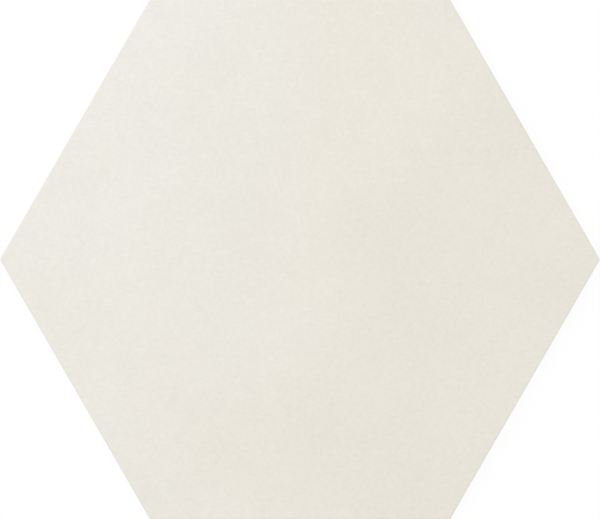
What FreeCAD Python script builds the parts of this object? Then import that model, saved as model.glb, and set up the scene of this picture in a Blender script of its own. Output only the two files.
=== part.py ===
# Hexagonal floor tile of dry-pressed porcelain stoneware, one fired piece.
# It lies face up: the flat face is on top, and the ribs of the back stand on Z = 0.
# Two opposite corners lie on the X axis, and two opposite sides face along the Y axis.
# The origin is at the centre of the back, on the plane that the ribs stand on.

import FreeCAD, Part
import math
import os

Vector = FreeCAD.Vector

# Outline and section, in millimetres.
across_flats = 216.5        # from one side to the opposite one, at the face
thickness = 9.0             # from the plane that the ribs stand on to the face
arris_radius = 0.5          # eased edge between the face and the sides
joint_land = 3.2            # upright band under the arris, which the grout joint meets
skirt_inset = 0.4           # how far the side draws in below the band, so that it leaves the die
foot_bevel = 0.6            # bevel between the side and the back, as wide as it is high
foot_corner_radius = 0.2    # rounding of the back's six corners; the die's draft widens it above

# Back, pressed into a honeycomb of shallow pockets that the adhesive keys into.
back_border = 7.0           # plain margin from the bevel to the outermost pockets
cell_pitch = 16.4           # from the centre of one cell to the centre of the next
rib_width = 2.2             # rib between two pockets, on the plane that it stands on
pocket_depth = 0.6          # from that plane to the floor of a pocket
mouth_easing = 0.2          # bevel round the mouth of a pocket, as wide as it is high
pocket_draft = 0.2          # how far a pocket's wall leans in between the bevel and the floor
least_pocket_share = 0.25   # a pocket that the margin cuts to less than this share isn't pressed

HEXAGON_SIDES = 6
SECTOR = 2 * math.pi / HEXAGON_SIDES
CORNER_ON_X = 0.0           # turn of a hexagon whose first corner is on the X axis, as the face's
SIDE_ON_X = SECTOR / 2      # turn of a hexagon with a side across the X axis, as the cells'
ARC_JOIN = 0                # kind of corner of an outline that is offset outwards

face_apothem = across_flats / 2
back_apothem = face_apothem - skirt_inset - foot_bevel
keyed_apothem = back_apothem - back_border
land_foot = thickness - arris_radius - joint_land


def hexagon(apothem, turn, height=0.0, centre=Vector(0, 0, 0)):
    """Corners of a level regular hexagon, anticlockwise. The apothem runs from centre to side."""
    corners = []
    for number in range(HEXAGON_SIDES):
        angle = turn + SECTOR * number
        arm = Vector(math.cos(angle), math.sin(angle), 0) * (apothem / math.cos(SECTOR / 2))
        corners.append(centre + arm + Vector(0, 0, height))
    return corners


def closed_line(corners):
    """Straight edges through the corners and back to the first."""
    return Part.makePolygon(corners + corners[:1])


def die_section(inset, height):
    """Level outline of the piece, with rounded corners, drawn in from the face's by inset."""
    core = closed_line(hexagon(back_apothem - foot_corner_radius, CORNER_ON_X))
    growth = skirt_inset + foot_bevel - inset
    outline = core.makeOffset2D(foot_corner_radius + growth, ARC_JOIN)
    outline.translate(Vector(0, 0, height))
    return outline


def pressed_blank():
    """The piece as the die shapes it: bevel, drafted skirt, upright land and eased face."""
    sections = [
        die_section(skirt_inset + foot_bevel, 0),
        die_section(skirt_inset, foot_bevel),
        die_section(0, land_foot),
        die_section(0, thickness),
    ]
    closed, ruled = True, True
    blank = Part.makeLoft(sections, closed, ruled)
    rim = [edge for edge in blank.Edges if edge.BoundBox.ZMin > thickness - arris_radius / 2]
    return blank.makeFillet(arris_radius, rim)


def pocket(apothem, turn, centre=Vector(0, 0, 0)):
    """Hexagonal recess: an eased mouth on the back, then drafted walls up to a flat floor."""
    mouth = hexagon(apothem, turn, 0, centre)
    throat = hexagon(apothem - mouth_easing, turn, mouth_easing, centre)
    floor = hexagon(apothem - mouth_easing - pocket_draft, turn, pocket_depth, centre)
    faces = [Part.Face(closed_line(mouth[::-1])), Part.Face(closed_line(floor))]
    for low, high in ((mouth, throat), (throat, floor)):
        for here in range(HEXAGON_SIDES):
            there = (here + 1) % HEXAGON_SIDES
            wall = [low[here], low[there], high[there], high[here]]
            faces.append(Part.Face(closed_line(wall)))
    return Part.Solid(Part.Shell(faces))


def cell_centres():
    """Centres of the honeycomb's cells, in rows along X, until they cover the whole back."""
    row_step = cell_pitch * math.cos(SECTOR / 2)
    reach = math.ceil(back_apothem / math.cos(SECTOR / 2) / row_step)
    for row in range(-reach, reach + 1):
        row_shift = cell_pitch / 2 if row % 2 else 0.0
        for place in range(-reach, reach + 1):
            yield Vector(place * cell_pitch + row_shift, row * row_step, 0)


def honeycomb():
    """All pockets of the back. The plain margin cuts off those on the edge of the keyed area."""
    pocket_apothem = (cell_pitch - rib_width) / 2
    whole = [pocket(pocket_apothem, SIDE_ON_X, centre) for centre in cell_centres()]
    keyed_area = pocket(keyed_apothem, CORNER_ON_X)
    cut_off = Part.makeCompound(whole).common(keyed_area).Solids
    least_volume = least_pocket_share * whole[0].Volume
    return [solid for solid in cut_off if solid.Volume >= least_volume]


os.makedirs("parts", exist_ok=True)
pockets = honeycomb()
hexagon_tile = pressed_blank().cut(Part.makeCompound(pockets))
print(len(pockets), "pockets,", len(hexagon_tile.Faces), "faces, valid", hexagon_tile.isValid())
print("volume", round(hexagon_tile.Volume), "mm3, box", hexagon_tile.optimalBoundingBox(True, False))
hexagon_tile.Solids[0].exportStep("parts/hexagon_tile.step")
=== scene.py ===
# %% [markdown]
# A matt ivory floor tile
# This lesson dresses one hexagonal porcelain tile. The tile is a single pressed and fired piece, so there
# is one mesh to make, and its quality lies in small things: an edge that isn't razor sharp, a face with
# the faint stipple of a matt glaze, and a back whose pockets look pressed and not cut. The steps are the
# camera, the blank, the honeycomb back, the fired surface, the finishes, and last the studio.

# %% Load the fixed frame
import bmesh
import bpy
import math
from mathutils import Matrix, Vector


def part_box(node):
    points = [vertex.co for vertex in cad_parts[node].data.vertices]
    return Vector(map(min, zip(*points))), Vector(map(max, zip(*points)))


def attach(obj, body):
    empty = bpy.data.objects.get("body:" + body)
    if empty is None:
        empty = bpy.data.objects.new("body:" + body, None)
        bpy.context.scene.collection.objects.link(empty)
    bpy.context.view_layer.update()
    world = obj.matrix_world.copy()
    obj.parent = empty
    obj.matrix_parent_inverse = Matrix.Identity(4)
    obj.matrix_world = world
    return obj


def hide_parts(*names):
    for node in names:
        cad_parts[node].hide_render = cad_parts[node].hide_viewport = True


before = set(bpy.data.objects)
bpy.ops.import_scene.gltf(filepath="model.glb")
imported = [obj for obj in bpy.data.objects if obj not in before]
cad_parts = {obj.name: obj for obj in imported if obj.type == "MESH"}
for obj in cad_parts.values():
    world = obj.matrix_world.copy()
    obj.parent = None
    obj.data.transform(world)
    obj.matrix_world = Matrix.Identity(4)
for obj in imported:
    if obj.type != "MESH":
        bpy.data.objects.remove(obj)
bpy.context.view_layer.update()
lowest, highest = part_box("hexagon_tile")
tile_span = highest - lowest

MM = 0.001                          # Blender counts in metres
MICRON = MM / 1000
print("the tile measures", " by ".join(f"{side / MM:.2f}" for side in tile_span), "mm")

# %% [markdown]
# The driving sizes
# The overall sizes come from the frame. The smaller ones repeat those of the solid, and each has one name
# that every later step uses. A hexagon has two handy lengths: the apothem, from its centre to the middle of
# a side, and the corner distance, from its centre to a corner.

# %% Sizes of the tile
HEXAGON_SIDES = 6
SIN_30 = 0.5
COS_30 = math.cos(math.radians(30))

thickness = tile_span.z
face_apothem = tile_span.y / 2
arris_radius = 0.5 * MM             # eased edge between the face and the sides
joint_land = 3.2 * MM               # upright band under it
skirt_inset = 0.4 * MM              # draft of the side below the band
foot_bevel = 0.6 * MM               # bevel between the side and the back
foot_corner_radius = 0.2 * MM       # corner rounding of the back; the draft widens it above
face_corner_radius = foot_corner_radius + foot_bevel + skirt_inset
land_foot = thickness - arris_radius - joint_land
back_border = 7 * MM                # plain margin around the pockets
cell_pitch = 16.4 * MM              # from one pocket's centre to the next one's
rib_width = 2.2 * MM                # between the mouths of two pockets
pocket_depth = 0.6 * MM
mouth_easing = 0.2 * MM             # bevel round a pocket's mouth
pocket_draft = 0.2 * MM             # how far a pocket's wall leans in above it
sharp_corner_span = 2 * face_apothem / COS_30
print(f"{2 * face_apothem / MM:.1f} mm across sides, {sharp_corner_span / MM:.1f} mm across sharp corners")

# %% [markdown]
# The camera
# The picture looks straight down on the face, with two corners level at the left and right. No side shows
# around the face, which takes nearly parallel lines of sight. An orthographic camera would give them too,
# but a long lens from far away does it as a photographer would. The distance between the sharp corners,
# before they are rounded, fills the width of the picture, and that gives the lens.

# %% Camera over the middle of the face
CAMERA_HEIGHT = 2.4
SENSOR_WIDTH = 36.0                 # millimetres, as Blender wants it

camera_data = bpy.data.cameras.new("overhead_camera")
camera_data.sensor_fit = "HORIZONTAL"
camera_data.sensor_width = SENSOR_WIDTH
camera_data.lens = SENSOR_WIDTH * CAMERA_HEIGHT / sharp_corner_span
camera = bpy.data.objects.new("overhead_camera", camera_data)
camera.location = (0, 0, thickness + CAMERA_HEIGHT)
bpy.context.scene.collection.objects.link(camera)
bpy.context.scene.camera = camera
print("the lens is", round(camera_data.lens), "mm long")

# %% [markdown]
# Writing node trees as text
# Geometry nodes and shader nodes are usually joined with the mouse. In a script, a few helpers keep a tree
# readable: one makes an empty tree with named inputs and outputs, one adds a node and fills its inputs
# with values or with links, and one does arithmetic. Each step then reads like a line of a recipe. In all
# that follows, given holds the tree's own inputs, by their labels.

# %% An empty tree with named inputs
SOCKETS = {
    "geometry": "NodeSocketGeometry",
    "length": "NodeSocketFloat",
    "number": "NodeSocketFloat",
    "count": "NodeSocketInt",
    "vector": "NodeSocketVector",
    "colour": "NodeSocketColor",
    "object": "NodeSocketObject",
    "material": "NodeSocketMaterial",
}


def new_tree(name, kind, inputs, outputs):
    """Makes an empty node tree and returns it with the sockets of its inputs."""
    tree = bpy.data.node_groups.new(name, kind)
    for label, sort in inputs.items():
        tree.interface.new_socket(label, in_out="INPUT", socket_type=SOCKETS[sort])
    for label, sort in outputs.items():
        tree.interface.new_socket(label, in_out="OUTPUT", socket_type=SOCKETS[sort])
    return tree, tree.nodes.new("NodeGroupInput").outputs


print("an input can be a", ", ".join(SOCKETS))


# %% Nodes with their inputs filled
def fill(tree, socket, value):
    """Gives a node's input one value or link, or several links."""
    for item in value if isinstance(value, list) else [value]:
        if isinstance(item, bpy.types.NodeSocket):
            tree.links.new(item, socket)
        else:
            socket.default_value = item


def add(tree, kind, inputs, **settings):
    """Adds a node with these settings and inputs, and returns its outputs."""
    node = tree.nodes.new(kind)
    for name, value in settings.items():
        setattr(node, name, value)
    for label, value in inputs.items():
        fill(tree, node.inputs[label], value)
    return node.outputs


def add_group(tree, inner_tree, inputs):
    """Adds a whole tree as one node of another and returns its outputs."""
    kind = {"GeometryNodeTree": "GeometryNodeGroup", "ShaderNodeTree": "ShaderNodeGroup"}
    node = tree.nodes.new(kind[inner_tree.bl_idname])
    node.node_tree = inner_tree
    for label, value in inputs.items():
        fill(tree, node.inputs[label], value)
    return node.outputs


def finish_tree(tree, results):
    """Joins the results to the tree's own outputs and says what was made."""
    add(tree, "NodeGroupOutput", results)
    print(tree.name, "has", len(tree.nodes), "nodes and", len(tree.links), "links")
    return tree


# %% Arithmetic in a tree
def calculate(tree, operation, *values):
    """One arithmetic step on numbers or number sockets."""
    return add(tree, "ShaderNodeMath", dict(enumerate(values)), operation=operation)[0]


def scaled(tree, vector, factor):
    """A vector made longer, or a colour made brighter, by this factor."""
    return add(tree, "ShaderNodeVectorMath", {0: vector, "Scale": factor}, operation="SCALE")[0]


def eased(tree, value, start, end):
    """Runs smoothly from 0 where the value is start to 1 where it is end."""
    steps = {"Value": value, "From Min": start, "From Max": end}
    return add(tree, "ShaderNodeMapRange", steps, interpolation_type="SMOOTHSTEP")[0]


# %% [markdown]
# Noise
# Nothing that is pressed and fired is quite even, and noise stands for that. It is asked for by the size of
# its features in metres, which is easier to judge than a scale, and by a seed, for which a fourth dimension
# serves, so that each run gives the same pattern.

# %% Noise in a tree
NOISE_MIDDLE = 0.5
NOISE_CREST = 0.75                  # noise can run from 0 to 1, but hardly any of it passes this
NOISE_LOW, NOISE_HIGH = 0.3, 0.7    # and most of it is between these


def noise_at(tree, place, size, seed, detail=2.0, roughness=0.5):
    """Noise with features of this size in metres."""
    scale = calculate(tree, "DIVIDE", 1.0, size)
    texture = {"Vector": place, "W": seed, "Scale": scale, "Detail": detail, "Roughness": roughness}
    return add(tree, "ShaderNodeTexNoise", texture, noise_dimensions="4D")[0]


def centred(tree, noise):
    """The same noise, lowered so that it is 0 on average."""
    return calculate(tree, "SUBTRACT", noise, NOISE_MIDDLE)


def below_crest(tree, noise):
    """The same noise, lowered so that only its crests reach 0."""
    return calculate(tree, "SUBTRACT", noise, NOISE_CREST)


# %% [markdown]
# Asking about places
# Geometry nodes work on every point, edge or face of a mesh at once. What they ask is called a field: a
# place, a number or a yes or no that can differ from one element to the next. These helpers name the
# questions that the tile's trees ask again and again, and two steps that they share.

# %% Helpers for geometry trees
def build_with(tree, kind, inputs, **settings):
    """Adds a geometry node and returns the geometry that it puts out."""
    return add(tree, kind, inputs, **settings)[0]


def compare(tree, value, operation, limit):
    """A yes or no for every element: is the value above, below or equal to the limit?"""
    return add(tree, "FunctionNodeCompare", {"A": value, "B": limit}, operation=operation)[0]


def both(tree, first, second):
    """Yes where both are."""
    return add(tree, "FunctionNodeBooleanMath", {0: first, 1: second}, operation="AND")[0]


def upwards(tree, height):
    """A vector straight up, as long as height."""
    return add(tree, "ShaderNodeCombineXYZ", {"Z": height})[0]


def moved(tree, geometry, step):
    """The geometry, moved by this vector."""
    return build_with(tree, "GeometryNodeTransform", {"Geometry": geometry, "Translation": step})


def finished(tree, geometry, material, where=True):
    """The geometry, made real because an export drops instances, with this material where asked."""
    real = build_with(tree, "GeometryNodeRealizeInstances", {"Geometry": geometry})
    finish = {"Geometry": real, "Selection": where, "Material": material}
    return build_with(tree, "GeometryNodeSetMaterial", finish)


def place_parts(tree):
    """The X, Y and Z of each element's place."""
    place = add(tree, "GeometryNodeInputPosition", {})[0]
    return add(tree, "ShaderNodeSeparateXYZ", {"Vector": place})


# %% [markdown]
# Running a geometry tree
# A geometry tree does its work as a modifier of an object. The modifier knows its inputs by the identifiers
# of their sockets and not by their labels, so a helper looks these up. What the modifiers make can then be
# copied to a plain mesh and measured. A good solid has no open edges, and its volume tells whether the
# faces point outwards, because a solid that is inside out has a negative one.

# %% An object with a tree
def new_piece(name, mesh=None):
    """An object at the origin with this mesh, or with an empty one."""
    piece = bpy.data.objects.new(name, mesh or bpy.data.meshes.new(name))
    bpy.context.scene.collection.objects.link(piece)
    return piece


def add_tree_modifier(piece, tree, values):
    """Adds a geometry tree to an object and sets its inputs."""
    modifier = piece.modifiers.new(tree.name, "NODES")
    modifier.node_group = tree
    for item in tree.interface.items_tree:
        if item.in_out == "INPUT" and item.name in values:
            modifier[item.identifier] = values[item.name]


def plain_mesh(piece):
    """A plain copy of the mesh that an object's modifiers make."""
    depsgraph = bpy.context.evaluated_depsgraph_get()
    return bpy.data.meshes.new_from_object(piece.evaluated_get(depsgraph), depsgraph=depsgraph)


# %% Measuring what a tree makes
def measure(label, mesh):
    """Prints the size and soundness of a mesh."""
    measured = bmesh.new()
    measured.from_mesh(mesh)
    open_edges = sum(1 for edge in measured.edges if len(edge.link_faces) != 2)
    triangles = sum(len(face.verts) - 2 for face in measured.faces)
    volume = measured.calc_volume(signed=True) / MM ** 3
    print(f"{label}: {triangles} triangles, {open_edges} open edges, {volume:.1f} mm3")
    measured.free()


def try_out(tree, values):
    """Runs a geometry tree once on a scratch object and measures what it makes."""
    trial = new_piece("trial")
    add_tree_modifier(trial, tree, values)
    mesh = plain_mesh(trial)
    measure("one " + tree.name, mesh)
    bpy.data.objects.remove(trial)
    bpy.data.meshes.remove(mesh)


# %% [markdown]
# A lattice that fills a hexagon
# A filled circle of six points would be one flat polygon, and cutting it up finely gives uneven cells. But
# a hexagon splits into three equal rhombi that meet at its centre. So a square grid, sheared by 30 degrees
# and copied three times round the centre, fills a hexagon with even cells and puts its points in rows along
# all six sides. The tile needs this twice: finely for the face, whose stipple moves every point a little,
# and coarsely for the places of the pockets on the back. It is therefore a group with two inputs.

# %% One rhombus of the lattice
GRID_MIDDLE = 0.5                   # a grid of side 1 reaches this far each way


def one_rhombus(tree, given):
    """A square grid with one corner at the centre, sheared to a rhombus."""
    points = calculate(tree, "ADD", given["Steps"], 1.0)
    unit_square = {"Size X": 1.0, "Size Y": 1.0, "Vertices X": points, "Vertices Y": points}
    square = build_with(tree, "GeometryNodeMeshGrid", unit_square)
    place = place_parts(tree)
    along = calculate(tree, "ADD", place["X"], GRID_MIDDLE)
    across = calculate(tree, "ADD", place["Y"], GRID_MIDDLE)
    sheared_x = calculate(tree, "MULTIPLY_ADD", across, -SIN_30, along)
    sheared_y = calculate(tree, "MULTIPLY", across, COS_30)
    sheared = add(tree, "ShaderNodeCombineXYZ", {"X": sheared_x, "Y": sheared_y})[0]
    target = scaled(tree, sheared, given["Corner Distance"])
    return build_with(tree, "GeometryNodeSetPosition", {"Geometry": square, "Position": target})


# %% Group: hexagonal lattice
RHOMBI = 3


def make_lattice_group():
    inputs = {"Corner Distance": "length", "Steps": "count"}
    tree, given = new_tree("hexagonal_lattice", "GeometryNodeTree", inputs, {"Mesh": "geometry"})
    centre = build_with(tree, "GeometryNodePoints", {"Count": RHOMBI})
    number = add(tree, "GeometryNodeInputIndex", {})[0]
    turn = upwards(tree, calculate(tree, "MULTIPLY", number, 2 * math.pi / RHOMBI))
    rotation = add(tree, "FunctionNodeEulerToRotation", {"Euler": turn})[0]
    copies = {"Points": centre, "Instance": one_rhombus(tree, given), "Rotation": rotation}
    three = build_with(tree, "GeometryNodeInstanceOnPoints", copies)
    real = build_with(tree, "GeometryNodeRealizeInstances", {"Geometry": three})
    seams = {"Geometry": real, "Distance": MICRON}
    return finish_tree(tree, {"Mesh": build_with(tree, "GeometryNodeMergeByDistance", seams)})


lattice_group = make_lattice_group()
try_out(lattice_group, {"Corner Distance": cell_pitch, "Steps": 2})

# %% [markdown]
# A filleted hexagon
# Every outline of the tile is a hexagon with rounded corners. Blender's curve circle with six points is a
# hexagon, and Fillet Curve rounds it by a true radius, which a bevel of the finished mesh would only
# approach. The corners get plain points, so that later steps can count on them.

# %% Outline with rounded corners
def filleted_hexagon(tree, apothem, radius, steps, turn=0.0):
    """Closed curve with rounded corners. Its first corner is on the X axis before it is turned."""
    corner_distance = calculate(tree, "DIVIDE", apothem, COS_30)
    hexagon = {"Resolution": HEXAGON_SIDES, "Radius": corner_distance}
    circle = build_with(tree, "GeometryNodeCurvePrimitiveCircle", hexagon)
    turned = {"Geometry": circle, "Rotation": upwards(tree, turn)}
    outline = build_with(tree, "GeometryNodeTransform", turned)
    fillet = {"Curve": outline, "Radius": radius, "Count": steps}
    return build_with(tree, "GeometryNodeFilletCurve", fillet, mode="POLY")


# %% [markdown]
# A drafted plug
# The die that presses the back carries raised hexagonal plugs with slightly leaning walls, called draft,
# so that the powder lets go of them, and a small bevel at their foot that eases the mouth of each pocket.
# A six-sided cone would lean too, but its corners would be sharp. So a plug is a filleted hexagon swept up
# a short line of four points, and at each point it has its own size. It starts a little below the back, so
# that cutting with it leaves no skin. The outer limit of the whole honeycomb is one big plug of this kind.

# %% Values by number
def by_number(tree, values):
    """For element 0 the first value, for element 1 the second, and so on."""
    node = tree.nodes.new("GeometryNodeIndexSwitch")
    node.data_type = "FLOAT"
    while len(node.index_switch_items) < len(values):
        node.index_switch_items.new()
    fill(tree, node.inputs["Index"], add(tree, "GeometryNodeInputIndex", {})[0])
    for number, value in enumerate(values):
        fill(tree, node.inputs[str(number)], value)
    return node.outputs[0]


# %% Group: drafted hexagonal plug
PLUG_CORNER_STEPS = 4


def make_plug_group():
    inputs = {label: "length" for label in ("Apothem", "Corner Radius", "Depth", "Easing", "Draft")}
    inputs["Turn"] = "number"
    tree, given = new_tree("drafted_plug", "GeometryNodeTree", inputs, {"Mesh": "geometry"})
    apothem, easing, depth = given["Apothem"], given["Easing"], given["Depth"]
    outline = filleted_hexagon(tree, apothem, given["Corner Radius"], PLUG_CORNER_STEPS, given["Turn"])

    throat = calculate(tree, "SUBTRACT", apothem, easing)
    floor_apothem = calculate(tree, "SUBTRACT", throat, given["Draft"])
    heights = [calculate(tree, "MULTIPLY", depth, -1.0), 0.0, easing, depth]
    apothems = [apothem, apothem, throat, floor_apothem]
    points = build_with(tree, "GeometryNodeMeshLine", {"Count": len(heights)})
    raised = {"Geometry": points, "Position": upwards(tree, by_number(tree, heights))}
    path = build_with(tree, "GeometryNodeSetPosition", raised)
    path = build_with(tree, "GeometryNodeMeshToCurve", {"Mesh": path})
    scale = calculate(tree, "DIVIDE", by_number(tree, apothems), apothem)
    sweep = {"Curve": path, "Profile Curve": outline, "Scale": scale, "Fill Caps": True}
    return finish_tree(tree, {"Mesh": build_with(tree, "GeometryNodeCurveToMesh", sweep)})


plug_group = make_plug_group()

# %% Try one plug
pocket_corner_radius = 1.2 * MM
plug_values = {
    "Apothem": (cell_pitch - rib_width) / 2,
    "Corner Radius": pocket_corner_radius,
    "Depth": pocket_depth,
    "Easing": mouth_easing,
    "Draft": pocket_draft,
}
try_out(plug_group, plug_values)

# %% [markdown]
# The section of the side
# From the face down, the side of a pressed tile is an eased edge or arris, an upright band that the grout
# joint meets, a skirt with a little draft, and a bevel down to the back. Extruding the outline and
# bevelling its edges would blur these into each other. Drawn once as a curve, the section keeps each size
# as it is, and it can be swept all round the outline. Its X is how far it stands out from the outline and
# its Y is the depth below the face. The long stretches get a few points more, to be roughened later.

# %% Points of the section
ARRIS_STEPS = 5
LAND_STEPS = 3
SKIRT_STEPS = 4


def section_points():
    """Points of the side's section from the edge of the face to the edge of the back."""
    points = []
    for step in range(ARRIS_STEPS + 1):
        angle = math.radians(90) * step / ARRIS_STEPS
        points.append((arris_radius * (math.sin(angle) - 1), arris_radius * (1 - math.cos(angle))))
    for step in range(1, LAND_STEPS + 1):
        points.append((0, arris_radius + joint_land * step / LAND_STEPS))
    skirt_height = land_foot - foot_bevel
    for step in range(1, SKIRT_STEPS + 1):
        share = step / SKIRT_STEPS
        points.append((-skirt_inset * share, thickness - land_foot + skirt_height * share))
    points.append((-skirt_inset - foot_bevel, thickness))
    return points


# %% Section curve
section_data = bpy.data.curves.new("side_section", "CURVE")
section_data.dimensions = "3D"
section_line = section_data.splines.new("POLY")
section_line.points.add(len(section_points()) - 1)
for curve_point, (out, depth) in zip(section_line.points, section_points()):
    curve_point.co = (out, depth, 0, 1)
section_curve = bpy.data.objects.new("side_section", section_data)
print(len(section_line.points), "points in the side's section")

# %% [markdown]
# The sides
# The outline is one more filleted hexagon. Fillets give it points at its corners only, so each long side is
# cut into even steps: every point asks how far away the next one is, and that gap gives the number of cuts.
# Resampling the curve would be quicker to write, but it would lose the corners' own points. Curve to Mesh
# then sweeps the section round. With the curve's normals set to Z Up, the section stands upright and faces
# outwards all the way round, also at the corners.

# %% Outline in even steps
FACE_CORNER_STEPS = 6


def stepped_outline(tree, given):
    """The tile's outline with its long sides cut into even steps."""
    outline = filleted_hexagon(tree, given["Apothem"], given["Corner Radius"], FACE_CORNER_STEPS)
    here = add(tree, "GeometryNodeInputPosition", {})[0]
    number = add(tree, "GeometryNodeInputIndex", {})[0]
    neighbour = {"Point Index": number, "Offset": 1}
    following = add(tree, "GeometryNodeOffsetPointInCurve", neighbour)["Point Index"]
    place_there = {"Index": following, "Value": here}
    there = add(tree, "GeometryNodeFieldAtIndex", place_there, data_type="FLOAT_VECTOR")[0]
    gap = add(tree, "ShaderNodeVectorMath", {0: here, 1: there}, operation="DISTANCE")["Value"]
    cuts = calculate(tree, "FLOOR", calculate(tree, "DIVIDE", gap, given["Side Step"]))
    return build_with(tree, "GeometryNodeSubdivideCurve", {"Curve": outline, "Cuts": cuts})


# %% Sweep of the section
def swept_side(tree, given, to_top):
    """The section swept round the outline, with its top at the height of the face."""
    section = add(tree, "GeometryNodeObjectInfo", {"Object": given["Section"]})["Geometry"]
    outline = {"Curve": stepped_outline(tree, given)}
    level = build_with(tree, "GeometryNodeSetCurveNormal", outline, mode="Z_UP")
    side = build_with(tree, "GeometryNodeCurveToMesh", {"Curve": level, "Profile Curve": section})
    return moved(tree, side, to_top)


# %% [markdown]
# Rims
# The sides are a ring that is open above and below. An open rim is made of edges with a face on one side
# only, so it can be picked out by that and turned into a curve. Parts that share such a rim have exactly
# the same points there, and welding these makes one mesh of the parts.

# %% Open rims, and welding at them
WELD = 2 * MICRON                   # points closer than this become one


def on_half(tree, given, operation):
    """Yes for what lies above half the thickness, or below it."""
    middle = calculate(tree, "DIVIDE", given["Thickness"], 2.0)
    return compare(tree, place_parts(tree)["Z"], operation, middle)


def open_rim(tree, mesh, half=None):
    """The open edges of a mesh as a curve, all of them or those of one half."""
    faces_beside = add(tree, "GeometryNodeInputMeshEdgeNeighbors", {})[0]
    chosen = compare(tree, faces_beside, "EQUAL", 1.0)
    chosen = chosen if half is None else both(tree, chosen, half)
    return build_with(tree, "GeometryNodeMeshToCurve", {"Mesh": mesh, "Selection": chosen})


def joined(tree, parts):
    """Several parts as one geometry, their points untouched."""
    return build_with(tree, "GeometryNodeJoinGeometry", {"Geometry": parts})


def welded(tree, parts):
    """Several parts as one mesh, with the points that coincide made one."""
    seams = {"Geometry": joined(tree, parts), "Distance": WELD}
    return build_with(tree, "GeometryNodeMergeByDistance", seams)


# %% [markdown]
# Lid and plate
# The pockets are cut by a boolean, and a boolean needs a closed solid. So the two rims are filled with a
# lid and a back plate. The lid is only there for the cut: it is one big polygon, which noise couldn't
# roughen, and it is taken off again afterwards.

# %% Closing the ring, and opening it again
LEVEL = 0.9999                      # a face whose normal has at least this much Z is level


def filled(tree, rims, mode):
    """Level faces inside closed curves. They come at Z = 0, whatever the height of the curves."""
    return build_with(tree, "GeometryNodeFillCurve", {"Curve": rims}, mode=mode)


def closed_blank(tree, side, face_rim, back_rim, to_top):
    """The ring with a lid and a plate."""
    lid = moved(tree, filled(tree, face_rim, "NGONS"), to_top)
    plate = build_with(tree, "GeometryNodeFlipFaces", {"Mesh": filled(tree, back_rim, "NGONS")})
    return welded(tree, [side, lid, plate])


def without_lid(tree, given, mesh):
    """The mesh without its level faces on top."""
    normal = add(tree, "GeometryNodeInputNormal", {})[0]
    up_share = add(tree, "ShaderNodeSeparateXYZ", {"Vector": normal})["Z"]
    level = compare(tree, up_share, "GREATER_THAN", LEVEL)
    lid = {"Geometry": mesh, "Selection": both(tree, level, on_half(tree, given, "GREATER_THAN"))}
    return build_with(tree, "GeometryNodeDeleteGeometry", lid, domain="FACE", mode="ONLY_FACE")


# %% [markdown]
# The honeycomb back
# Adhesive needs something to grip, so the back of a tile is keyed with shallow pockets. A bump in the
# material would look flat from the side, and one boolean for every pocket would be slow. Here the plugs
# stand on the points of a coarse lattice and are cut in one go. Where the plain margin begins, it cuts the
# outer plugs off, as on the real back, and an intersection with the one big plug does that. The Manifold
# solver takes a fraction of a second, but it needs closed meshes, which these are.

# %% Centres of the pockets
def pocket_centres(tree, given, keyed_apothem):
    """A coarse lattice of as many whole rings of cells as the keyed part of the back holds."""
    row_step = calculate(tree, "MULTIPLY", given["Cell Pitch"], COS_30)
    rings = calculate(tree, "FLOOR", calculate(tree, "DIVIDE", keyed_apothem, row_step))
    reach = calculate(tree, "MULTIPLY", rings, given["Cell Pitch"])
    return add_group(tree, lattice_group, {"Corner Distance": reach, "Steps": rings})[0]


def boolean(tree, operation, meshes):
    """Cuts or intersects closed meshes."""
    return build_with(tree, "GeometryNodeMeshBoolean", meshes, operation=operation, solver="MANIFOLD")


# %% Plugs of all pockets
SIDE_ON_X = math.radians(30)        # turn of a hexagon that has a side, not a corner, on the X axis


def honeycomb_plugs(tree, given):
    """Plugs of all pockets, the outer ones cut off by the plain margin of the back."""
    foot_apothem = calculate(tree, "SUBTRACT", given["Apothem"], given["Foot Inset"])
    keyed_apothem = calculate(tree, "SUBTRACT", foot_apothem, given["Back Border"])
    mouth_width = calculate(tree, "SUBTRACT", given["Cell Pitch"], given["Rib Width"])
    mouth_apothem = calculate(tree, "DIVIDE", mouth_width, 2.0)
    shape = {
        "Corner Radius": given["Pocket Corner Radius"],
        "Depth": given["Pocket Depth"],
        "Easing": given["Mouth Easing"],
        "Draft": given["Pocket Draft"],
    }
    small_plug = add_group(tree, plug_group, {**shape, "Apothem": mouth_apothem, "Turn": SIDE_ON_X})[0]
    large_plug = add_group(tree, plug_group, {**shape, "Apothem": keyed_apothem})[0]

    repeated = {"Points": pocket_centres(tree, given, keyed_apothem), "Instance": small_plug}
    plugs = build_with(tree, "GeometryNodeInstanceOnPoints", repeated)
    plugs = build_with(tree, "GeometryNodeRealizeInstances", {"Geometry": plugs})
    return boolean(tree, "INTERSECT", {"Mesh 2": [plugs, large_plug]})


# %% [markdown]
# A face of even cells
# Noise can't move the inside of a polygon, so the face needs points of its own. It is made again from the
# fine lattice, which has a point at every millimetre. It stops a little short of the edge, and a strip of
# triangles joins its border to the points of the sides. Subdividing the lid instead would have drawn the
# cells out from the centre, and their shading would show it.

# %% Face
def face_of_cells(tree, given, face_rim, to_top):
    """The fine lattice and the strip that joins it to the rim."""
    edge_apothem = calculate(tree, "SUBTRACT", given["Apothem"], given["Arris Radius"])
    lattice_apothem = calculate(tree, "SUBTRACT", edge_apothem, given["Face Strip"])
    corner_distance = calculate(tree, "DIVIDE", lattice_apothem, COS_30)
    cells = {"Corner Distance": corner_distance, "Steps": given["Face Steps"]}
    lattice = add_group(tree, lattice_group, cells)[0]
    rims = joined(tree, [face_rim, open_rim(tree, lattice)])
    strip = filled(tree, rims, "TRIANGLES")
    return moved(tree, joined(tree, [strip, lattice]), to_top)


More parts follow.
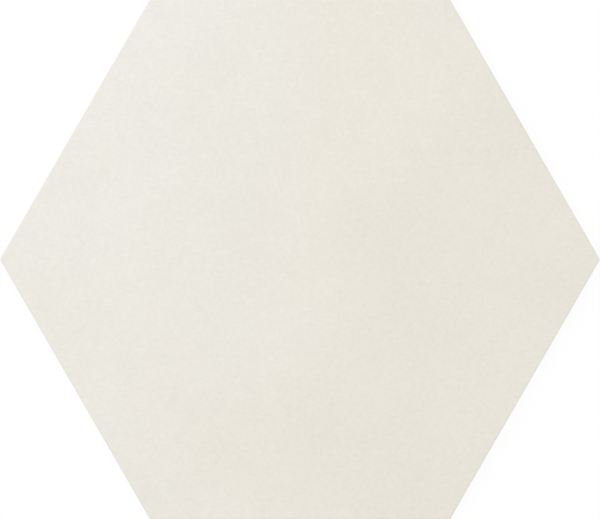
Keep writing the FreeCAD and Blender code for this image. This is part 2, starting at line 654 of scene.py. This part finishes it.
# %% [markdown]
# The pressed tile
# Now the steps come together in the order of the press: form the blank, key its back, and lay the face. The
# tree's inputs are the tile's own sizes, so another tile of this family needs only other values. It ends by
# making everything real and giving it the finish of the bare body, because the glaze comes later.

# %% Lengths of the pressed tile
tile_lengths = {
    "Apothem": face_apothem,
    "Thickness": thickness,
    "Arris Radius": arris_radius,
    "Corner Radius": face_corner_radius,
    "Side Step": 0.96 * MM,             # between two points of the outline, about a cell of the face
    "Face Strip": 0.9 * MM,             # from the outermost cells to the rim
    "Foot Inset": skirt_inset + foot_bevel,
    "Back Border": back_border,
    "Cell Pitch": cell_pitch,
    "Rib Width": rib_width,
    "Pocket Corner Radius": pocket_corner_radius,
    "Pocket Depth": pocket_depth,
    "Mouth Easing": mouth_easing,
    "Pocket Draft": pocket_draft,
}
for label, length in tile_lengths.items():
    print(f"{label}: {length / MM:.2f} mm")


# %% Tree: pressed tile
def make_tile_tree():
    inputs = {label: "length" for label in tile_lengths}
    inputs.update({"Face Steps": "count", "Section": "object", "Bare Finish": "material"})
    tree, given = new_tree("pressed_tile", "GeometryNodeTree", inputs, {"Tile": "geometry"})
    to_top = upwards(tree, given["Thickness"])
    side = swept_side(tree, given, to_top)
    face_rim = open_rim(tree, side, on_half(tree, given, "GREATER_THAN"))
    back_rim = open_rim(tree, side, on_half(tree, given, "LESS_THAN"))
    blank = closed_blank(tree, side, face_rim, back_rim, to_top)

    keyed = boolean(tree, "DIFFERENCE", {"Mesh 1": blank, "Mesh 2": honeycomb_plugs(tree, given)})
    face = face_of_cells(tree, given, face_rim, to_top)
    tile = welded(tree, [without_lid(tree, given, keyed), face])
    tile = build_with(tree, "GeometryNodeSetShadeSmooth", {"Geometry": tile})
    return finish_tree(tree, {"Tile": finished(tree, tile, given["Bare Finish"])})


tile_tree = make_tile_tree()

# %% [markdown]
# The skin of the glaze
# A matt glaze isn't a mirror-flat skin. It dries and melts into a fine stipple over a slow ripple, both
# only hundredths of a millimetre deep, which is enough to break up the light at a low angle. Noise moves
# the points of the face down, and only its crests keep the full thickness of the tile. It fades out towards
# the edge, so that the edge stays straight, and for that each point needs its distance from the centre,
# counted as a hexagon grows. The finer part of the stipple is left to the bump of the material.

# %% Distance from the centre
def hexagonal_distance(tree):
    """How far a point is from the centre, counted towards the nearest side."""
    place = place_parts(tree)
    across_x = calculate(tree, "ABSOLUTE", place["X"])
    across_y = calculate(tree, "ABSOLUTE", place["Y"])
    share_of_y = calculate(tree, "MULTIPLY", across_y, SIN_30)
    slanted = calculate(tree, "MULTIPLY_ADD", across_x, COS_30, share_of_y)
    return calculate(tree, "MAXIMUM", across_y, slanted)


# %% Relief of the face
def glaze_rise(tree, given):
    """How much each point of the face rises. It is 0 or less."""
    place = add(tree, "GeometryNodeInputPosition", {})[0]
    stipple = below_crest(tree, noise_at(tree, place, given["Stipple Size"], given["Seed"], detail=1.0))
    ripple = below_crest(tree, noise_at(tree, place, given["Ripple Size"], given["Seed"], detail=1.0))
    rise = calculate(tree, "MULTIPLY", ripple, given["Ripple Depth"])
    rise = calculate(tree, "MULTIPLY_ADD", stipple, given["Stipple Depth"], rise)
    edge = calculate(tree, "SUBTRACT", given["Apothem"], given["Arris Radius"])
    inner = calculate(tree, "SUBTRACT", edge, given["Edge Fade"])
    return calculate(tree, "MULTIPLY", rise, eased(tree, hexagonal_distance(tree), edge, inner))


# %% [markdown]
# The skin of the sides
# The sides keep the rougher skin that the powder takes from the die. Their points move in along their
# normals, and again only the crests keep the full width. This fades out at the arris, where the glaze
# smooths everything, and at the back, which has to stay level.

# %% Relief of the sides
def die_swell(tree, given, land_top):
    """How much each point of the sides stands out. It is 0 or less."""
    place = add(tree, "GeometryNodeInputPosition", {})[0]
    grain = below_crest(tree, noise_at(tree, place, given["Side Grain Size"], given["Seed"]))
    swell = calculate(tree, "MULTIPLY", grain, given["Side Grain Depth"])
    height, fade = place_parts(tree)["Z"], given["Side Fade"]
    below_arris = eased(tree, height, land_top, calculate(tree, "SUBTRACT", land_top, fade))
    above_back = eased(tree, height, fade, calculate(tree, "MULTIPLY", fade, 2.0))
    return calculate(tree, "MULTIPLY", calculate(tree, "MULTIPLY", swell, below_arris), above_back)


# %% [markdown]
# Faces with thousands of corners
# The cut leaves the ribs of the back as a few faces, and one of them has about 3000 corners. Every program
# splits such a face into triangles in its own way, often into long slivers. The Triangulate node does it
# once and evenly. Faces with three or four corners stay as they are.

# %% Splitting large faces
QUAD_CORNERS = 4


def split_large_faces(tree, mesh):
    """Even triangles instead of each face with more than four corners."""
    corners = add(tree, "GeometryNodeInputMeshFaceNeighbors", {})["Vertex Count"]
    large = {"Mesh": mesh, "Selection": compare(tree, corners, "GREATER_THAN", QUAD_CORNERS)}
    return build_with(tree, "GeometryNodeTriangulate", large, ngon_method="BEAUTY")


# %% [markdown]
# The fired surface
# The second tree moves the points of the first one's mesh: those of the face by one rule and those of the
# sides by the other. It also gives the glazed part its finish, which is all that lies above the upright
# band. It is a tree of its own so that a modifier can soften the edges before it.

# %% Lengths of the fired surface
surface_lengths = {
    "Apothem": face_apothem,
    "Thickness": thickness,
    "Arris Radius": arris_radius,
    "Edge Fade": 2.5 * MM,
    "Stipple Size": 3.4 * MM,
    "Stipple Depth": 0.05 * MM,
    "Ripple Size": 22 * MM,
    "Ripple Depth": 0.06 * MM,
    "Side Grain Size": 3 * MM,
    "Side Grain Depth": 0.07 * MM,
    "Side Fade": 0.8 * MM,
}
print("the fired surface is set by", ", ".join(surface_lengths))

# %% Tree: fired surface
FACE_SKIN = MICRON                  # points this close to the face's height belong to it


def make_surface_tree():
    inputs = {"Tile": "geometry"}
    inputs.update({label: "length" for label in surface_lengths})
    inputs.update({"Seed": "number", "Glazed Finish": "material"})
    tree, given = new_tree("fired_surface", "GeometryNodeTree", inputs, {"Tile": "geometry"})
    land_top = calculate(tree, "SUBTRACT", given["Thickness"], given["Arris Radius"])
    skin = calculate(tree, "SUBTRACT", given["Thickness"], FACE_SKIN)
    on_face = compare(tree, place_parts(tree)["Z"], "GREATER_THAN", skin)
    rise = upwards(tree, glaze_rise(tree, given))
    tile = split_large_faces(tree, given["Tile"])
    raised = {"Geometry": tile, "Selection": on_face, "Offset": rise}
    tile = build_with(tree, "GeometryNodeSetPosition", raised)

    normal = add(tree, "GeometryNodeInputNormal", {})[0]
    outwards = scaled(tree, normal, die_swell(tree, given, land_top))
    tile = build_with(tree, "GeometryNodeSetPosition", {"Geometry": tile, "Offset": outwards})

    glazed = compare(tree, place_parts(tree)["Z"], "GREATER_THAN", land_top)
    return finish_tree(tree, {"Tile": finished(tree, tile, given["Glazed Finish"], glazed)})


surface_tree = make_surface_tree()

# %% [markdown]
# Writing materials as text
# The same helpers serve for shader trees, and a few more mix colours and stretch values. All patterns read
# Object coordinates. On a piece that stands at the origin these are metres, so the sizes of a pattern can
# be given as they are on the tile. An image would need to be unwrapped onto the mesh and would blur up
# close, while these patterns stay fine at any distance.

# %% Helpers for materials
def grey(level):
    """An opaque neutral colour."""
    return (level, level, level, 1.0)


def mixed(tree, share, first, second):
    """Mixes two colours, the second by this share."""
    node = tree.nodes.new("ShaderNodeMix")
    node.data_type = "RGBA"
    fill(tree, node.inputs["Factor"], share)
    first_colour, second_colour = (socket for socket in node.inputs if socket.type == "RGBA")
    fill(tree, first_colour, first)
    fill(tree, second_colour, second)
    return next(socket for socket in node.outputs if socket.type == "RGBA")


def spread(tree, value, low, high, start=0.0, end=1.0):
    """Stretches a value that runs from start to end so that it runs from low to high."""
    steps = {"Value": value, "From Min": start, "From Max": end, "To Min": low, "To Max": high}
    return add(tree, "ShaderNodeMapRange", steps)[0]


def stretched(tree, place, along_x, along_y, along_z):
    """The place with each of its parts multiplied, which stretches a pattern where it is below 1."""
    factors = add(tree, "ShaderNodeCombineXYZ", {"X": along_x, "Y": along_y, "Z": along_z})[0]
    return add(tree, "ShaderNodeVectorMath", {0: place, 1: factors}, operation="MULTIPLY")[0]


# %% [markdown]
# The colour of the glaze
# The glaze on the face also laps a little way down the sides, so its colour is a group that both finishes
# place. It starts from two ivories, one a little cooler and lighter and one a little warmer and darker.
# Firing never tints a tile evenly, and that gives the tint. The difference in brightness is painted light:
# the left side is lighter, as if the lamp lit it more. One noise for everything would look like a stain, so
# three things vary by themselves: the tint and the painted light drift slowly from one side to the other,
# soft clouds change only the brightness, and a fine stipple tops them. The group also puts out the relief
# of the stipple for the bump.

# %% Tint, painted light and shade of the glaze
MIDDLE_TINT = 0.5                   # the middle of the face is halfway between the two ivories


def glaze_tint(tree, given, place):
    """Colour between the two ivories, which drifts across the face and wanders a little. The drift is
    partly tint and partly painted light: the cool side is lighter and the warm side darker.
    """
    along_drift = {0: place, 1: given["Tint And Light Drift"]}
    tint = add(tree, "ShaderNodeVectorMath", along_drift, operation="DOT_PRODUCT")["Value"]
    tint = calculate(tree, "ADD", tint, MIDDLE_TINT)
    patches = noise_at(tree, place, given["Tint Size"], given["Seed"], detail=1.0)
    tint = calculate(tree, "MULTIPLY_ADD", centred(tree, patches), given["Tint Strength"], tint)
    return mixed(tree, tint, given["Cool Lit Ivory"], given["Warm Shaded Ivory"])


def glaze_shade(tree, given, place, stipple):
    """Brightness of the colour, 1 on average."""
    clouds = noise_at(tree, place, given["Cloud Size"], given["Seed"], detail=5.0, roughness=0.75)
    shade = calculate(tree, "MULTIPLY_ADD", centred(tree, clouds), given["Cloud Strength"], 1.0)
    return calculate(tree, "MULTIPLY_ADD", centred(tree, stipple), given["Stipple Strength"], shade)


# %% Inputs of the glaze and their values
WARM_SHADED_SIDE = Vector((0.99, -0.15, 0.0))    # the way to the warmest and darkest side, seen from the middle; the darkening there is painted shade
DRIFT_SPAN = 0.25                   # from the coolest, lightest side to the warmest, darkest one
glaze_table = {
    # The cool ivory is also lighter than the warm one. That is painted light: the left side looks lit more,
    # as if by the lamp.
    "Cool Lit Ivory": ("colour", (0.835, 0.813, 0.757, 1.0)),
    "Warm Shaded Ivory": ("colour", (0.807, 0.768, 0.677, 1.0)),
    "Tint And Light Drift": ("vector", WARM_SHADED_SIDE / DRIFT_SPAN),
    "Tint Size": ("length", 90 * MM),
    "Tint Strength": ("number", 1.3),
    "Cloud Size": ("length", 50 * MM),
    "Cloud Strength": ("number", 0.10),
    "Stipple Size": ("length", 1.6 * MM),
    "Stipple Strength": ("number", 0.135),
    "Skin Size": ("length", 0.45 * MM),
    "Seed": ("number", 9.0),
}
glaze_inputs = {label: sort for label, (sort, value) in glaze_table.items()}
glaze_values = {label: value for label, (sort, value) in glaze_table.items()}
print("the glaze is set by", ", ".join(glaze_table))


# %% Group: ivory glaze
def make_glaze_group():
    outputs = {"Colour": "colour", "Relief": "number"}
    tree, given = new_tree("ivory_glaze", "ShaderNodeTree", glaze_inputs, outputs)
    place = add(tree, "ShaderNodeTexCoord", {})["Object"]
    stipple = noise_at(tree, place, given["Stipple Size"], given["Seed"], roughness=0.7)
    colour = scaled(tree, glaze_tint(tree, given, place), glaze_shade(tree, given, place, stipple))
    skin = noise_at(tree, place, given["Skin Size"], given["Seed"], roughness=0.6)
    relief = calculate(tree, "DIVIDE", calculate(tree, "ADD", stipple, skin), 2.0)
    return finish_tree(tree, {"Colour": colour, "Relief": relief})


glaze_group = make_glaze_group()

# %% [markdown]
# The grain of pressed powder
# Bare porcelain is pressed from powder as fine as flour, and firing only joins its grains. This group gives
# three patterns: the grain itself, streaks, which are the same noise drawn out upwards, and flecks, which
# are the middles of the cells of a Voronoi pattern, where a mineral grain shows. They are a group because
# colour, roughness and bump all ask for them, and have to agree.

# %% Group: pressed powder
FLECK_EDGE = (0.16, 0.08)           # from where a fleck begins to where it is whole, in cells


def make_powder_group():
    inputs = {label: "length" for label in ("Grain Size", "Streak Length", "Fleck Spacing")}
    inputs["Seed"] = "number"
    outputs = {label: "number" for label in ("Grain", "Streaks", "Flecks")}
    tree, given = new_tree("pressed_powder", "ShaderNodeTree", inputs, outputs)
    place, seed = add(tree, "ShaderNodeTexCoord", {})["Object"], given["Seed"]
    grain = noise_at(tree, place, given["Grain Size"], seed, detail=3.0, roughness=0.65)

    upright = calculate(tree, "DIVIDE", given["Grain Size"], given["Streak Length"])
    drawn_out = stretched(tree, place, 1.0, 1.0, upright)
    streaks = noise_at(tree, drawn_out, given["Grain Size"], seed)

    density = calculate(tree, "DIVIDE", 1.0, given["Fleck Spacing"])
    cells = {"Vector": place, "Scale": density, "W": seed}
    to_nearest = add(tree, "ShaderNodeTexVoronoi", cells, voronoi_dimensions="4D")["Distance"]
    flecks = eased(tree, to_nearest, *FLECK_EDGE)
    return finish_tree(tree, {"Grain": grain, "Streaks": streaks, "Flecks": flecks})


powder_group = make_powder_group()

# %% [markdown]
# The glazed finish
# Each finish is a material with its own Principled shader. Values that are the same all over, such as the
# index of refraction, are written on the shader itself. What changes over the surface comes in through
# links: the colour, the roughness, and the height of a bump that is finer than the mesh.

# %% A material with a Principled shader
CERAMIC_IOR = 1.5


def emptied_tree(owner):
    """The node tree of a material or a world, without the nodes that Blender puts there."""
    owner.use_nodes = True
    owner.node_tree.nodes.clear()
    return owner.node_tree


def new_finish(name):
    """A material with one Principled shader, and its tree and the shader's inputs."""
    material = bpy.data.materials.new(name)
    tree = emptied_tree(material)
    shader = tree.nodes.new("ShaderNodeBsdfPrincipled")
    add(tree, "ShaderNodeOutputMaterial", {"Surface": shader.outputs[0]})
    shader.inputs["IOR"].default_value = CERAMIC_IOR
    return material, tree, shader.inputs


def bump_from(tree, height, depth):
    """Normal of a bump whose height from 0 to 1 is this many metres."""
    return add(tree, "ShaderNodeBump", {"Height": height, "Distance": depth, "Strength": 1.0})[0]


# %% Material: matt glaze of the face
GLAZE_BUMP = 0.12 * MM
HOLLOW_ROUGHNESS, CREST_ROUGHNESS = 0.66, 0.50


def glaze_roughness(tree, glaze):
    """A matt glaze is a little shinier on the crests of its stipple."""
    return spread(tree, glaze["Relief"], HOLLOW_ROUGHNESS, CREST_ROUGHNESS, NOISE_LOW, NOISE_HIGH)


def make_glazed_finish():
    material, tree, shader = new_finish("matt_ivory_glaze")
    glaze = add_group(tree, glaze_group, glaze_values)
    fill(tree, shader["Base Color"], glaze["Colour"])
    fill(tree, shader["Roughness"], glaze_roughness(tree, glaze))
    fill(tree, shader["Normal"], bump_from(tree, glaze["Relief"], GLAZE_BUMP))
    return material


glazed_finish = make_glazed_finish()
print(glazed_finish.name, "has", len(glazed_finish.node_tree.nodes), "nodes")

# %% [markdown]
# Marks that the making leaves
# Under the glaze, the porcelain body is a little greyer, and two kinds of marks tell how it was made. On
# the sides, the powder slid along the die and left upright scuffs. On the back, the tops of the ribs carry
# the pale wash that keeps tiles from sticking to the rollers of the kiln. The rollers drag it along, so its
# patches are longer that way, and the floors of the pockets, which no roller touches, stay clean. Painting
# each on a piece of mesh of its own would leave straight borders. As masks they can be ragged, and the
# height of a point decides which of them it can have.

# %% Wash on the ribs
WASH_HEIGHT = 0.12 * MM             # the wash is on what lies lower than this
WASH_PATCH = 14 * MM
WASH_DRAG = 3.0                     # how many times longer its patches are along the kiln
WASH_EDGE = (0.36, 0.58)            # noise at which the wash begins and is whole
WASH_SEED = 3.0


def kiln_wash(tree, place, height):
    """1 where the wash is thick, on the tops of the ribs."""
    dragged = stretched(tree, place, 1.0 / WASH_DRAG, 1.0, 1.0)
    patches = noise_at(tree, dragged, WASH_PATCH, WASH_SEED, detail=4.0, roughness=0.65)
    on_ribs = eased(tree, height, WASH_HEIGHT, 0.0)
    return calculate(tree, "MULTIPLY", eased(tree, patches, *WASH_EDGE), on_ribs)


# %% Scuffs on the sides
SCUFF_START = 0.8 * MM              # the scuffs begin above this, clear of the floors of the pockets
SCUFF_EDGE = (0.50, 0.68)           # streaks at which a scuff begins and is whole


def die_scuffs(tree, height, powder):
    """1 in the upright marks where the powder slid along the die."""
    on_sides = eased(tree, height, SCUFF_START, SCUFF_START * 2)
    return calculate(tree, "MULTIPLY", eased(tree, powder["Streaks"], *SCUFF_EDGE), on_sides)


# %% [markdown]
# Where the glaze ends
# The glaze is sprayed from above and runs a little way over the edge, so on the sides it ends in an uneven
# line. The mask compares a point's height with a height that wanders along the side. Lower down, at the
# foot of the upright band, the two halves of the die met and left a hair-thin ridge.

# %% Lap of the glaze
GLAZE_LAP = 1.5 * MM                # how far the glaze reaches down the sides, on average
LAP_RAGGEDNESS = 1.6 * MM           # between its highest and its lowest place
LAP_RANGE = (0.2, 0.8)              # noise at those two places
LAP_WAVE = 5 * MM
LAP_BLUR = 0.25 * MM
LAP_SEED = 6.0
lap_height = thickness - arris_radius - GLAZE_LAP


def glaze_lap(tree, place, height):
    """1 where the glaze covers the side and 0 below its uneven edge."""
    wander = noise_at(tree, place, LAP_WAVE, LAP_SEED, detail=3.0, roughness=0.6)
    lowest_lap, highest_lap = lap_height - LAP_RAGGEDNESS / 2, lap_height + LAP_RAGGEDNESS / 2
    line = spread(tree, wander, lowest_lap, highest_lap, *LAP_RANGE)
    return eased(tree, calculate(tree, "SUBTRACT", height, line), -LAP_BLUR, LAP_BLUR)


print("the glaze ends about", round(lap_height / MM, 1), "mm above the floor")

# %% Ridge of the die
RIDGE_WIDTH = 0.22 * MM


def die_ridge(tree, height):
    """1 along the line where the halves of the die met."""
    from_line = calculate(tree, "ABSOLUTE", calculate(tree, "SUBTRACT", height, land_foot))
    return eased(tree, from_line, RIDGE_WIDTH, 0.0)


# %% [markdown]
# The colour of the body
# The ground is the grain of pressed powder between two near greys. Sparse mineral flecks lie in it, and the
# scuffs and the wash lie on it, so they are mixed in that order.

# %% Colour of the body
BODY_LIGHT = (0.735, 0.695, 0.615, 1.0)
BODY_DARK = (0.675, 0.630, 0.545, 1.0)
FLECK_STRENGTH, FLECK_COLOUR = 0.5, (0.420, 0.370, 0.300, 1.0)
SCUFF_STRENGTH, SCUFF_COLOUR = 0.55, (0.775, 0.742, 0.675, 1.0)
WASH_STRENGTH, WASH_COLOUR = 0.75, (0.820, 0.810, 0.780, 1.0)


def body_colour(tree, powder, scuffs, wash):
    """Colour of the bare body with its flecks, scuffs and wash."""
    grain = spread(tree, powder["Grain"], 0.0, 1.0, NOISE_LOW, NOISE_HIGH)
    body = mixed(tree, grain, BODY_DARK, BODY_LIGHT)
    marks = [
        (powder["Flecks"], FLECK_STRENGTH, FLECK_COLOUR),
        (scuffs, SCUFF_STRENGTH, SCUFF_COLOUR),
        (wash, WASH_STRENGTH, WASH_COLOUR),
    ]
    for mask, strength, colour in marks:
        body = mixed(tree, calculate(tree, "MULTIPLY", mask, strength), body, colour)
    return body


# %% [markdown]
# The bare finish
# Now the body's colour and masks come together in one material. Where the glaze laps over, its colour and
# roughness take over from the body's. The bump adds up the grain, the streaks, the ridge and the thickness
# of the glaze itself, which stands a little proud along its edge.

# %% Roughness and relief of the body
SMOOTH_BODY, ROUGH_BODY = 0.72, 0.92
SCUFF_SHINE = 0.12                  # how much smoother a scuff is
STREAK_HEIGHT, RIDGE_HEIGHT, LAP_HEIGHT = 1.2, 0.7, 0.6    # beside a height of 1 for the grain
UNDER_GLAZE = 0.35                  # how much of the relief shows through the glaze


def body_roughness(tree, powder, scuffs):
    """Roughness of the bare body, less on the scuffs."""
    rough = spread(tree, powder["Grain"], SMOOTH_BODY, ROUGH_BODY, NOISE_LOW, NOISE_HIGH)
    return calculate(tree, "MULTIPLY_ADD", scuffs, -SCUFF_SHINE, rough)


def body_relief(tree, height, powder, lap):
    """Height of the bump: grain and streaks, softer under the glaze, and the glaze's own thickness."""
    relief = calculate(tree, "MULTIPLY_ADD", powder["Streaks"], STREAK_HEIGHT, powder["Grain"])
    relief = calculate(tree, "MULTIPLY_ADD", die_ridge(tree, height), RIDGE_HEIGHT, relief)
    relief = calculate(tree, "MULTIPLY", relief, spread(tree, lap, 1.0, UNDER_GLAZE))
    return calculate(tree, "MULTIPLY_ADD", lap, LAP_HEIGHT, relief)


# %% Material: bare porcelain, with the glaze lapping over
BODY_BUMP = 0.08 * MM
POWDER_VALUES = {"Grain Size": 0.7 * MM, "Streak Length": 12 * MM, "Fleck Spacing": 1.4 * MM, "Seed": 9.0}


def make_body_finish():
    material, tree, shader = new_finish("bare_porcelain_body")
    place = add(tree, "ShaderNodeTexCoord", {})["Object"]
    height = add(tree, "ShaderNodeSeparateXYZ", {"Vector": place})["Z"]
    powder = add_group(tree, powder_group, POWDER_VALUES)
    glaze = add_group(tree, glaze_group, glaze_values)
    lap = glaze_lap(tree, place, height)
    scuffs = die_scuffs(tree, height, powder)
    body = body_colour(tree, powder, scuffs, kiln_wash(tree, place, height))
    fill(tree, shader["Base Color"], mixed(tree, lap, body, glaze["Colour"]))
    rough = body_roughness(tree, powder, scuffs)
    difference = calculate(tree, "SUBTRACT", glaze_roughness(tree, glaze), rough)
    fill(tree, shader["Roughness"], calculate(tree, "MULTIPLY_ADD", lap, difference, rough))
    fill(tree, shader["Normal"], bump_from(tree, body_relief(tree, height, powder, lap), BODY_BUMP))
    return material


body_finish = make_body_finish()
print(body_finish.name, "has", len(body_finish.node_tree.nodes), "nodes")

# %% [markdown]
# From trees to one mesh
# The two trees become modifiers of one workpiece, with a bevel between them that softens the rims of the
# pockets and the corners of the sides, as the wear of the die does. Rounding each of these edges in the
# trees would take far more nodes, and a bevel finds them all by their angle. A last modifier weights the
# normals by the area of the faces, so that flat faces look flat beside narrow rounded ones.

# %% Values of the two trees
FACE_STEPS = 124                    # cells from the centre of the face to a corner
SURFACE_SEED = 2.0
pressed_values = {"Face Steps": FACE_STEPS, "Section": section_curve, "Bare Finish": body_finish}
pressed_values.update(tile_lengths)
surface_values = {"Seed": SURFACE_SEED, "Glazed Finish": glazed_finish}
surface_values.update(surface_lengths)
print(f"a cell of the face is about {face_apothem / COS_30 / FACE_STEPS / MM:.2f} mm wide")

# %% The workpiece and its modifiers
SOFTENING = 0.14 * MM
SHARPEST_LEFT = math.radians(28)    # edges that turn less than this aren't softened
NORMAL_WEIGHT = 100                 # the most, with which large faces decide

workpiece = new_piece("workpiece")
add_tree_modifier(workpiece, tile_tree, pressed_values)
soften = workpiece.modifiers.new("soften", "BEVEL")
soften.width = SOFTENING
soften.segments = 2
soften.limit_method = "ANGLE"
soften.angle_limit = SHARPEST_LEFT
add_tree_modifier(workpiece, surface_tree, surface_values)
weigh = workpiece.modifiers.new("weigh_normals", "WEIGHTED_NORMAL")
weigh.weight = NORMAL_WEIGHT
print("modifiers:", ", ".join(modifier.name for modifier in workpiece.modifiers))

# %% [markdown]
# A plain mesh
# The piece is a plain mesh, because modifiers with trees aren't kept by every format. The
# evaluated workpiece is copied to one and is then thrown away with its modifiers. Blender leaves an empty
# first slot before the two materials, which goes too. The new object stands at the origin, rides on the
# tile's only body, and takes the place of the plain CAD solid.

# %% The fired tile
tile_mesh = plain_mesh(workpiece)
bpy.data.objects.remove(workpiece)
if tile_mesh.materials[0] is None:
    tile_mesh.materials.pop(index=0)
tile_mesh.name = "hexagon_tile_fired"
tile = new_piece("hexagon_tile_fired", tile_mesh)
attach(tile, "root")
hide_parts("hexagon_tile")
measure(tile.name, tile_mesh)
print("its finishes are", " and ".join(material.name for material in tile_mesh.materials))

# %% [markdown]
# The floor
# The tile lies on a plain pale floor. To the camera and in reflections the floor is mixed with plain white,
# so that the background is white without any more light on the tile. A small share of the real floor is
# left in the mix, and it keeps a faint shadow.

# %% Finish of the floor
FLOOR_GREY = 0.80
FLOOR_LIFT = 0.88                   # how much of what the camera sees of the floor is plain white
FLOOR_WHITE = 1.035                 # a little over 1, which makes up for the real floor's part


def seen_directly(tree):
    """1 for rays from the camera, also by way of gloss or glass, and 0 for light that falls on things."""
    path = add(tree, "ShaderNodeLightPath", {})
    seen = calculate(tree, "MAXIMUM", path["Is Camera Ray"], path["Is Glossy Ray"])
    return calculate(tree, "MAXIMUM", seen, path["Is Transmission Ray"])


def make_floor_finish():
    material = bpy.data.materials.new("pale_floor")
    tree = emptied_tree(material)
    diffuse = add(tree, "ShaderNodeBsdfDiffuse", {"Color": grey(FLOOR_GREY)})[0]
    white = add(tree, "ShaderNodeEmission", {"Color": grey(1.0), "Strength": FLOOR_WHITE})[0]
    lift = calculate(tree, "MULTIPLY", seen_directly(tree), FLOOR_LIFT)
    surface = add(tree, "ShaderNodeMixShader", {0: lift, 1: diffuse, 2: white})[0]
    add(tree, "ShaderNodeOutputMaterial", {"Surface": surface})
    return material


# %% Floor under the tile
HALF_FLOOR = 6.0
FLOOR_GAP = 20 * MICRON             # so that the ribs and the floor don't flicker

floor_level = lowest.z - FLOOR_GAP
quarters = ((-1, -1), (1, -1), (1, 1), (-1, 1))
floor_corners = [(x * HALF_FLOOR, y * HALF_FLOOR, floor_level) for x, y in quarters]
floor_mesh = bpy.data.meshes.new("floor")
floor_mesh.from_pydata(floor_corners, [], [(0, 1, 2, 3)])
floor_mesh.materials.append(make_floor_finish())
floor = new_piece("floor", floor_mesh)
print("the floor is at", round(floor_level / MM, 3), "mm")

# %% [markdown]
# The light
# A soft dome gives most of the light, and one large lamp near the upper left adds the rest. Because it is
# near, it lights that side of the face a little more, as in the picture. Together they light a level
# surface so that a colour looks as it is written, and the last of these cells prints that level.

# %% Soft dome
DOME_LIGHT = 0.832

world = bpy.data.worlds.new("soft_dome")
bpy.context.scene.world = world
sky = emptied_tree(world)
strength = spread(sky, seen_directly(sky), DOME_LIGHT, 1.0)
background = add(sky, "ShaderNodeBackground", {"Color": grey(1.0), "Strength": strength})[0]
add(sky, "ShaderNodeOutputWorld", {"Surface": background})
bpy.context.scene.view_settings.view_transform = "Standard"
print("the dome gives", DOME_LIGHT)

# %% Key lamp
KEY_POWER = 1.9
KEY_PLACE = Vector((-0.30, 0.29, 0.88))
KEY_SPAN = 0.8

key_data = bpy.data.lights.new("key_lamp", "AREA")
key_data.shape = "DISK"
key_data.size = KEY_SPAN
key_data.energy = KEY_POWER
key_lamp = bpy.data.objects.new("key_lamp", key_data)
key_lamp.location = KEY_PLACE
key_lamp.rotation_euler = (-KEY_PLACE).to_track_quat("-Z", "Y").to_euler()
bpy.context.scene.collection.objects.link(key_lamp)

# How light a small lamp of this power makes a white floor. It falls with the square of the distance, and
# again with height over distance, because the light comes in at a slant.
key_light = KEY_POWER * KEY_PLACE.z / (math.pi ** 2 * KEY_PLACE.length ** 3)
print("light on a level surface: about", round(DOME_LIGHT + key_light, 2))
